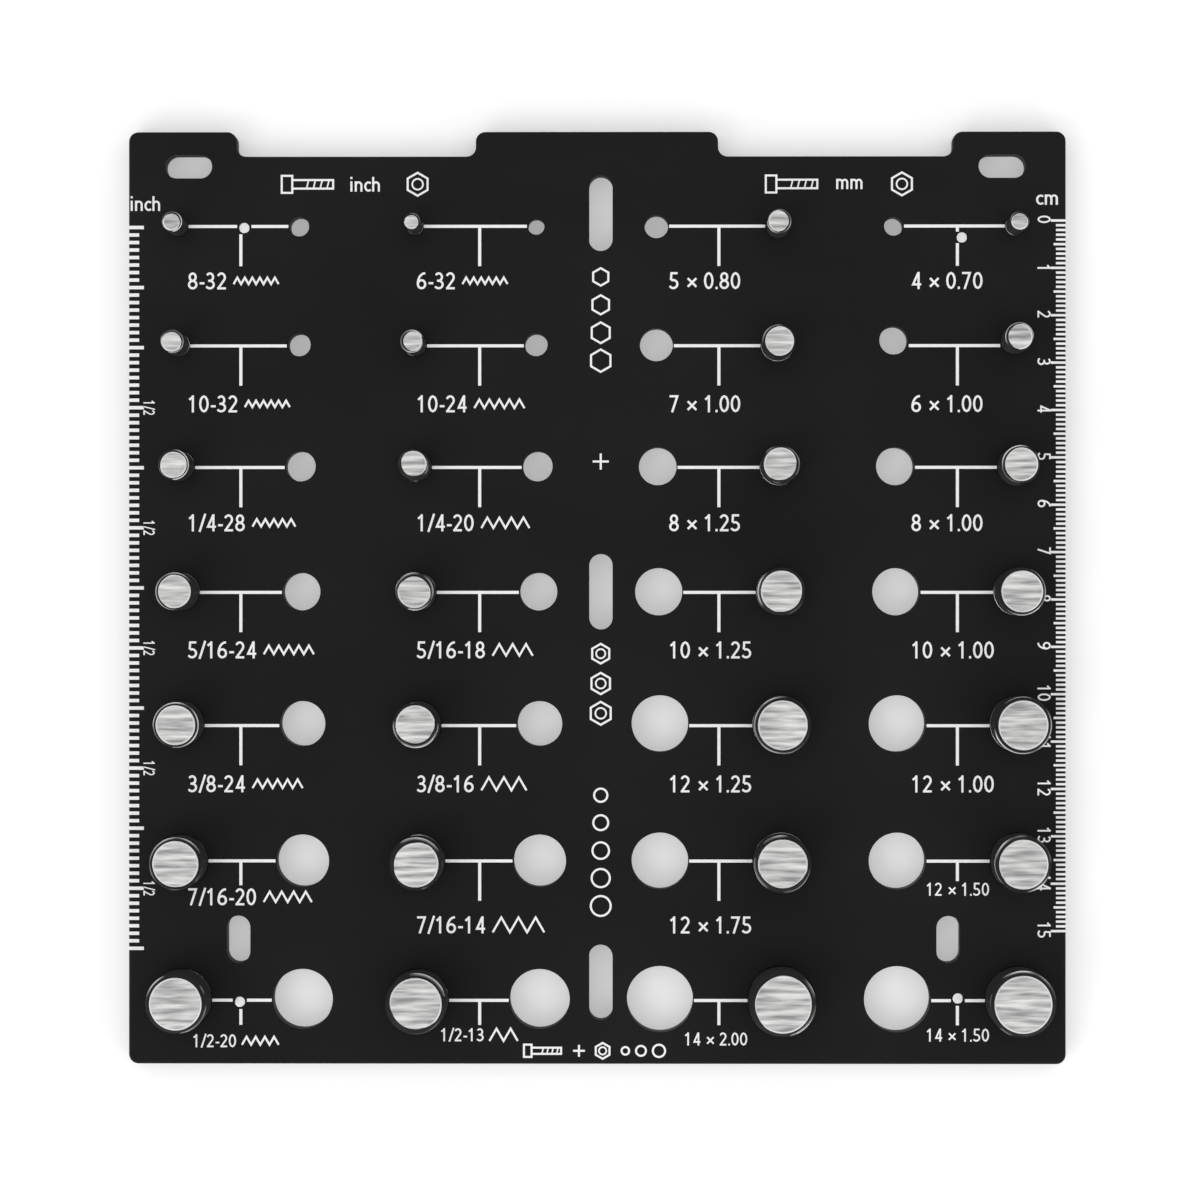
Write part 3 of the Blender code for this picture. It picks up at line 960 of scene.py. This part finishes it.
def new_print(name, scene, sheets, *solids):
    """A printed piece in the one white ink: any solids, and flat sheets sunk a little into the face."""
    finish = bpy.data.materials.get("white_ink") or white_ink_finish(scene.board_surface)
    laid = flat_solid(joined(sheets), FACE - INK_SINK, FACE + scene.board_print.ink_height)
    printed = new_piece(name, joined([*solids, laid]), [finish], sharp_degrees=30)
    keep_flat(printed.data)


def clear_of_pins(start, end, reach):
    """The stretches of a straight line that stay clear of every pin by the reach."""
    start, end = np.array(start), np.array(end)
    length = np.linalg.norm(end - start)
    along = (end - start) / length
    blocked = []
    for pin in PINS:
        to_pin = np.array([pin.x, pin.y]) - start
        place = to_pin @ along
        aside = abs(to_pin[0] * along[1] - to_pin[1] * along[0])
        if aside < reach:
            half = np.sqrt(reach**2 - aside**2)
            blocked.append((place - half, place + half))
    stretches, leave = [], 0.0
    for arrive, after in [*sorted(blocked), (length, length)]:
        stop = min(arrive, length)
        if stop - leave > SHORTEST_LINE:
            stretches.append((start + along * leave, start + along * stop))
        leave = max(leave, after)
    return stretches


class BOARD_OT_lines(Operator):
    """Print the line that joins each stud to its hole, with its stem"""

    bl_idname = "board.lines"
    bl_label = "Joining lines"

    def execute(self, context):
        ink, surface = context.scene.board_print, context.scene.board_surface
        lines = [ends for thread in THREADS for ends in self.pair_lines(ink, surface, thread)]
        strokes = [stroke(ends, ink.line_width) for ends in lines]
        new_print("print_joining_lines", context.scene, [sheet(strokes)])
        return {"FINISHED"}

    def pair_lines(self, ink, surface, thread):
        """A level line from rim to rim and a stem down from it, both broken at the pins."""
        inwards = -np.sign(thread.x)
        from_x = thread.x + inwards * (thread.radius + surface.bore_rim)
        to_x = hole_x(thread) - inwards * (thread.radius + surface.hole_rim)
        y = ROW_Y[thread.row] - LINE_DROPS[thread.row]
        stem_x = STEM_PLACES[thread.column]
        stem_foot = y - self.stem_length(ink, thread)
        pin_reach = PINS[0].radius + surface.pin_ring + PIN_CLEARANCE
        level = clear_of_pins((from_x, y), (to_x, y), pin_reach)
        return level + clear_of_pins((stem_x, y), (stem_x, stem_foot), pin_reach)

    def stem_length(self, ink, thread):
        """Stems are short above the lower slots and the plate's bottom edge."""
        if thread.row == LAST_ROW:
            return ink.last_stem_length
        over_slots = {0: ink.slot_stem_length, LAST_COLUMN: ink.short_stem_length}
        return over_slots.get(thread.column, ink.stem_length) if thread.row == ROW_SIX else ink.stem_length


class BOARD_OT_sizes(Operator):
    """Print the thread sizes, each inch size with the outline of its thread at twice its pitch"""

    bl_idname = "board.sizes"
    bl_label = "Thread sizes"

    def execute(self, context):
        ink = context.scene.board_print
        sheets = []
        for thread in THREADS:
            x, y, height = self.label_place(ink, thread)
            label = lettering(thread.label, height, (x, y), from_left=True)
            sheets.append(label)
            if not thread.metric:
                start = label[0][:, 0].max() + ZIGZAG_GAP * height
                sheets.append(self.zigzag(ink, start, y, height, thread.pitch))
        new_print("print_thread_sizes", context.scene, sheets)
        return {"FINISHED"}

    def label_place(self, ink, thread):
        """Left end of a thread size's foot line, and its digit height."""
        row, column = thread.row, thread.column
        small = row == LAST_ROW or (row == ROW_SIX and column == LAST_COLUMN)
        height = ink.small_digit_height if small else ink.digit_height
        start = SMALL_LABEL_STARTS[column] if small else LABEL_STARTS[column]
        return STEM_PLACES[column] + start, ROW_Y[row] - LABEL_DROPS[row][column], height

    def zigzag(self, ink, x, y, height, pitch):
        """A zigzag of 60 degree teeth at an enlarged pitch, as many as its length takes, at least two."""
        tooth = ZIGZAG_SCALE * pitch * height / ink.digit_height
        teeth = max(2, int(round(ZIGZAG_LENGTH * height / tooth)))
        place = np.arange(2 * teeth + 1)
        rise = tooth * np.sqrt(3) / 2
        path = np.stack([x + place * tooth / 2, y + (height - rise) / 2 + rise * (place % 2)], axis=1)
        return sheet([stroke(path, ink.sign_width)])


# The rules


def rule_marks(marks, height, stretch, x, places):
    """Marks beside a rule, each turned a quarter clockwise and centred on its tick."""
    return [lettering(mark, height, (x, y), stretch, -np.pi / 2) for mark, y in zip(marks, places)]


def new_rule(name, scene, side, y, lengths, tick_width, sheets):
    """A printed piece of ticks over the plate's edge on one side, and the marks beside them."""
    ink_height, edge_round = scene.board_print.ink_height, scene.board_surface.plate_edge
    new_print(name, scene, sheets, tick_surface(lengths, y, tick_width, side, edge_round, ink_height))


class BOARD_OT_inch_rule(Operator):
    """Print the inch rule down the left edge, in sixteenths"""

    bl_idname = "board.inch_rule"
    bl_label = "Inch rule"

    def execute(self, context):
        ink = context.scene.board_print
        count = np.arange(RULE_INCHES * INCH_PARTS + 1)
        y = ROW_Y[0] + INCH_RULE_RISE - count * INCH / INCH_PARTS
        lengths = np.where(count % (INCH_PARTS // 2) == 0, LONG_TICK, INCH_TICK)
        halves = y[FIRST_HALF_MARK::INCH_PARTS]
        mark_x = HALF_MARK_FROM_EDGE - HALF_WIDTH
        marks = rule_marks(["1/2"] * len(halves), ink.half_mark_height, HALF_MARK_STRETCH, mark_x, halves)
        spot = (INCH_UNIT_IN - HALF_WIDTH, y[0] + INCH_UNIT_RISE)
        marks.append(lettering("inch", ink.unit_height, spot, INCH_UNIT_STRETCH, from_left=True))
        new_rule("print_inch_rule", context.scene, -1, y, lengths, INCH_TICK_WIDTH, marks)
        return {"FINISHED"}


class BOARD_OT_centimetre_rule(Operator):
    """Print the centimetre rule down the right edge, in millimetres"""

    bl_idname = "board.centimetre_rule"
    bl_label = "Centimetre rule"

    def execute(self, context):
        ink = context.scene.board_print
        count = np.arange(RULE_CENTIMETRES * 10 + 1)
        y = ROW_Y[0] + CENTIMETRE_RULE_RISE - count * MM
        lengths = np.where(count % 10 == 0, LONG_TICK, np.where(count % 5 == 0, MIDDLE_TICK, SHORT_TICK))
        numbers = [str(number) for number in range(RULE_CENTIMETRES + 1)]
        number_x = HALF_WIDTH - NUMBER_FROM_EDGE
        marks = rule_marks(numbers, ink.rule_digit_height, 1.0, number_x, y[::10] + NUMBER_RISE)
        spot = (HALF_WIDTH - CENTIMETRE_UNIT_IN, y[0] + CENTIMETRE_UNIT_RISE)
        marks.append(lettering("cm", ink.unit_height, spot, CENTIMETRE_UNIT_STRETCH))
        new_rule("print_centimetre_rule", context.scene, 1, y, lengths, MILLIMETRE_TICK_WIDTH, marks)
        return {"FINISHED"}


# Generic signs in the places of words


# Steps round a ring, fewer where it is small, and a nut's ring beside its hexagon and its line
RING_STEPS = 32
SMALL_RING_STEPS = 24
SMALL_RING = 2.7 * MM
NUT_RING_SHARE = 0.27
NUT_RING_LINE = 0.8

# A bolt's head, shank, length and slant beside its size, and its lines' places, number and width
BOLT_SHARES = (0.62, 0.5, 2.4, 0.12)
BOLT_LINES = (0.35, 0.85, 4)
BOLT_LINE_WIDTH = 0.7


def hexagon(x, y, across_flats):
    """Six corners round a middle."""
    turn = np.arange(6) * np.pi / 3 + np.pi / 6
    reach = across_flats / np.sqrt(3)
    return np.stack([x + reach * np.cos(turn), y + reach * np.sin(turn)], axis=1)


def hexagon_sign(x, y, size, width):
    """A hexagon's outline."""
    return sheet([stroke(hexagon(x, y, size), width, True)])


def ring_sign(x, y, size, width):
    """A ring, in fewer steps where it is small."""
    steps = SMALL_RING_STEPS if size < SMALL_RING else RING_STEPS
    return sheet([stroke(circle(x, y, size / 2, steps)[0], width, True)])


def nut_sign(x, y, size, width):
    """A hexagon round a ring with a finer line."""
    ring = circle(x, y, size * NUT_RING_SHARE, SMALL_RING_STEPS)[0]
    return sheet([stroke(hexagon(x, y, size), width, True), stroke(ring, width * NUT_RING_LINE, True)])


def bolt_sign(x, y, size, width):
    """A bolt from its side: a head as high as the size, and a shank with four slanting lines."""
    head, shank, length, slant = (size * share for share in BOLT_SHARES)
    left = x - (head + length) / 2
    neck, tip = left + head, left + head + length
    outline = [(left, y - size / 2), (neck, y - size / 2), (neck, y + size / 2), (left, y + size / 2)]
    body = [(neck, y - shank / 2), (tip, y - shank / 2), (tip, y + shank / 2), (neck, y + shank / 2)]
    strokes = [stroke(outline, width, True), stroke(body, width)]
    for place in neck + length * np.linspace(*BOLT_LINES):
        line = [(place, y - shank / 2), (place + slant, y + shank / 2)]
        strokes.append(stroke(line, width * BOLT_LINE_WIDTH))
    return sheet(strokes)


def plus_sign(x, y, size, width):
    """Two bars across each other."""
    half = size / 2
    level, post = [(x - half, y), (x + half, y)], [(x, y - half), (x, y + half)]
    return sheet([stroke(level, width), stroke(post, width)])


# Headings: their height and middles, where their bolt, word and nut stand from there, and the signs' sizes
HEADING_Y = 87.4 * MM
HEADINGS = ((-50.2 * MM, "inch"), (52.1 * MM, "mm"))
HEADING_BOLT_X, HEADING_WORD_X, HEADING_NUT_X = millimetres(-11.0, 1.2, 12.3)
HEADING_BOLT_SIZE, HEADING_NUT_SIZE = millimetres(3.6, 4.2)

# Each kind of sign with its places and sizes, up the middle strip and then along the foot
STRIP_SIGNS = (
    (hexagon_sign, millimetres(67.8, 61.9, 56.0, 50.1), millimetres(3.2, 3.5, 3.8, 4.1)),
    (plus_sign, millimetres(28.8), millimetres(3.4)),
    (nut_sign, millimetres(-11.8, -18.1, -24.4), millimetres(3.6, 3.9, 4.2)),
    (ring_sign, millimetres(-41.7, -47.5, -53.4, -59.2, -65.1), millimetres(2.8, 3.15, 3.5, 3.85, 4.2)),
)
FOOT_Y = -95.7 * MM
FOOT_SIGNS = (
    (bolt_sign, millimetres(-11.5), millimetres(2.6)),
    (plus_sign, millimetres(-3.8), millimetres(2.5)),
    (nut_sign, millimetres(1.2), millimetres(2.9)),
    (ring_sign, millimetres(6.0, 9.3, 13.1), millimetres(1.6, 2.1, 2.6)),
)


class BOARD_OT_signs(Operator):
    """Print small bolt, nut and ring signs as headings, down the middle and along the foot"""

    bl_idname = "board.signs"
    bl_label = "Signs"

    def execute(self, context):
        ink = context.scene.board_print
        width = ink.sign_width
        sheets = []
        for x, unit in HEADINGS:
            sheets.append(bolt_sign(x + HEADING_BOLT_X, HEADING_Y, HEADING_BOLT_SIZE, width))
            spot = (x + HEADING_WORD_X, HEADING_Y)
            sheets.append(lettering(unit, ink.unit_height, spot, INCH_UNIT_STRETCH))
            sheets.append(nut_sign(x + HEADING_NUT_X, HEADING_Y, HEADING_NUT_SIZE, width))
        for kind, places, sizes in STRIP_SIGNS:
            sheets += [kind(CENTRE_SLOT_SHIFT, y, size, width) for y, size in zip(places, sizes)]
        for kind, places, sizes in FOOT_SIGNS:
            sheets += [kind(x, FOOT_Y, size, width) for x, size in zip(places, sizes)]
        new_print("print_signs", context.scene, sheets)
        return {"FINISHED"}


# The stage


FLOOR_REACH = 3.0
FLOOR_LEVEL = -0.05 * MM
EDGE_LIGHT_PLACE = (0.45, -0.45, 0.30)
EDGE_LIGHT_SIZE = 0.25
SENSOR_WIDTH = 36.0
CLIP_START, CLIP_END = 0.05, 20.0


def level_when_seen(tree, unseen, seen):
    """One level for most light, and another where a camera, glossy or transmission ray looks."""
    path = add_node(tree, "ShaderNodeLightPath")
    looks = combined(tree, "MAXIMUM", path.outputs["Is Camera Ray"], path.outputs["Is Glossy Ray"])
    looks = combined(tree, "MAXIMUM", looks, path.outputs["Is Transmission Ray"])
    return fed_node(tree, "ShaderNodeMapRange", {"Value": looks}, "Result", to_min=unseen, to_max=seen)


def floor_finish(stage):
    """A pale floor that keeps its shadows, and glows a little where it is seen, to show as white."""
    finish = bpy.data.materials.new("pale_floor")
    finish.use_nodes = True
    tree = finish.node_tree
    tree.nodes.clear()
    paint = add_node(tree, "ShaderNodeBsdfDiffuse", color=(*stage.floor_colour, 1.0))
    level = level_when_seen(tree, 0.0, stage.floor_glow)
    glow = fed_node(tree, "ShaderNodeEmission", {"Strength": level}, 0)
    both = fed_node(tree, "ShaderNodeAddShader", {0: paint.outputs[0], 1: glow}, 0)
    output = add_node(tree, "ShaderNodeOutputMaterial")
    tree.links.new(both, output.inputs["Surface"])
    return finish


def make_sky(stage):
    """Even light from all round, and white where it is seen."""
    world = bpy.data.worlds.new("sky")
    bpy.context.scene.world = world
    world.use_nodes = True
    tree = world.node_tree
    background = tree.nodes["Background"]
    background.inputs["Color"].default_value = (1.0, 1.0, 1.0, 1.0)
    tree.links.new(level_when_seen(tree, stage.sky_level, 1.0), background.inputs["Strength"])


def make_lamp(name, place, size, power):
    """A square area lamp at a place, facing the plate's middle."""
    lamp = bpy.data.lights.new(name, "AREA")
    lamp.shape = "SQUARE"
    lamp.size = size
    lamp.energy = power
    holder = new_object(name, lamp)
    holder.location = place
    holder.rotation_euler = (-Vector(place)).to_track_quat("-Z", "Y").to_euler()


def make_camera(stage):
    """A lens that looks down, turned a little to the left, its picture shifted to hold the whole plate."""
    lens = bpy.data.cameras.new("camera")
    lens.sensor_width = SENSOR_WIDTH
    lens.lens = SENSOR_WIDTH * stage.view_distance / stage.view_width
    turn = np.radians(stage.lens_turn)
    aim_x = stage.lens_x - stage.view_distance * np.tan(turn)
    lens.shift_x = (stage.view_x - aim_x) / stage.view_width
    lens.shift_y = (stage.view_y - stage.lens_y) / stage.view_width
    lens.clip_start, lens.clip_end = CLIP_START, CLIP_END
    camera = new_object("camera", lens)
    camera.location = (stage.lens_x, stage.lens_y, FACE + stage.view_distance)
    camera.rotation_euler = (0.0, turn, 0.0)
    bpy.context.scene.camera = camera


class BOARD_OT_stage(Operator):
    """Set out the floor, sky, lamps and camera"""

    bl_idname = "board.stage"
    bl_label = "Stage"

    def execute(self, context):
        stage = context.scene.board_stage
        sides = ((-1, -1), (1, -1), (1, 1), (-1, 1))
        corners = [(x * FLOOR_REACH, y * FLOOR_REACH, FLOOR_LEVEL) for x, y in sides]
        mesh = bpy.data.meshes.new("floor")
        mesh.from_pydata(corners, [], [(0, 1, 2, 3)])
        mesh.materials.append(floor_finish(stage))
        floor = new_object("floor", mesh)
        floor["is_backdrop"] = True
        make_sky(stage)
        place = (-stage.softbox_reach, -stage.softbox_reach, stage.softbox_height)
        make_lamp("softbox", place, stage.softbox_size, stage.softbox_power)
        make_lamp("edge_light", EDGE_LIGHT_PLACE, EDGE_LIGHT_SIZE, stage.edge_power)
        make_camera(stage)
        context.scene.view_settings.view_transform = "Standard"
        return {"FINISHED"}


class BOARD_PT_sidebar(Panel):
    """Buttons for each piece, in the order that they are made"""

    bl_label = "Bolt identifier board"
    bl_idname = "BOARD_PT_sidebar"
    bl_space_type = "VIEW_3D"
    bl_region_type = "UI"
    bl_category = "Board"

    def draw(self, context):
        for step in STEPS:
            self.layout.operator(step.bl_idname)


STEPS = (
    BOARD_OT_plate,
    BOARD_OT_studs,
    BOARD_OT_pins,
    BOARD_OT_lines,
    BOARD_OT_sizes,
    BOARD_OT_inch_rule,
    BOARD_OT_centimetre_rule,
    BOARD_OT_signs,
    BOARD_OT_stage,
)
GROUPS = (("board_surface", BoardSurface), ("board_print", BoardPrint), ("board_stage", BoardStage))


def register():
    """Make the sizes, the operators and the panel known to Blender."""
    for name, group in GROUPS:
        bpy.utils.register_class(group)
        setattr(bpy.types.Scene, name, PointerProperty(type=group))
    for kind in (*STEPS, BOARD_PT_sidebar):
        bpy.utils.register_class(kind)


def unregister():
    """Take them away again, in the other order."""
    for kind in reversed((*STEPS, BOARD_PT_sidebar)):
        bpy.utils.unregister_class(kind)
    for name, group in reversed(GROUPS):
        delattr(bpy.types.Scene, name)
        bpy.utils.unregister_class(group)


def main():
    """Make every piece in order and work out the frame's box and the dressed board's box."""
    register()
    for step in STEPS:
        group, name = step.bl_idname.split(".")
        getattr(getattr(bpy.ops, group), name)()
    boxes = {"frame": frame_bounds, "dressed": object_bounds()}
    boxes = {name: [[float(value) for value in corner] for corner in box] for name, box in boxes.items()}


if __name__ == "__main__":
    main()
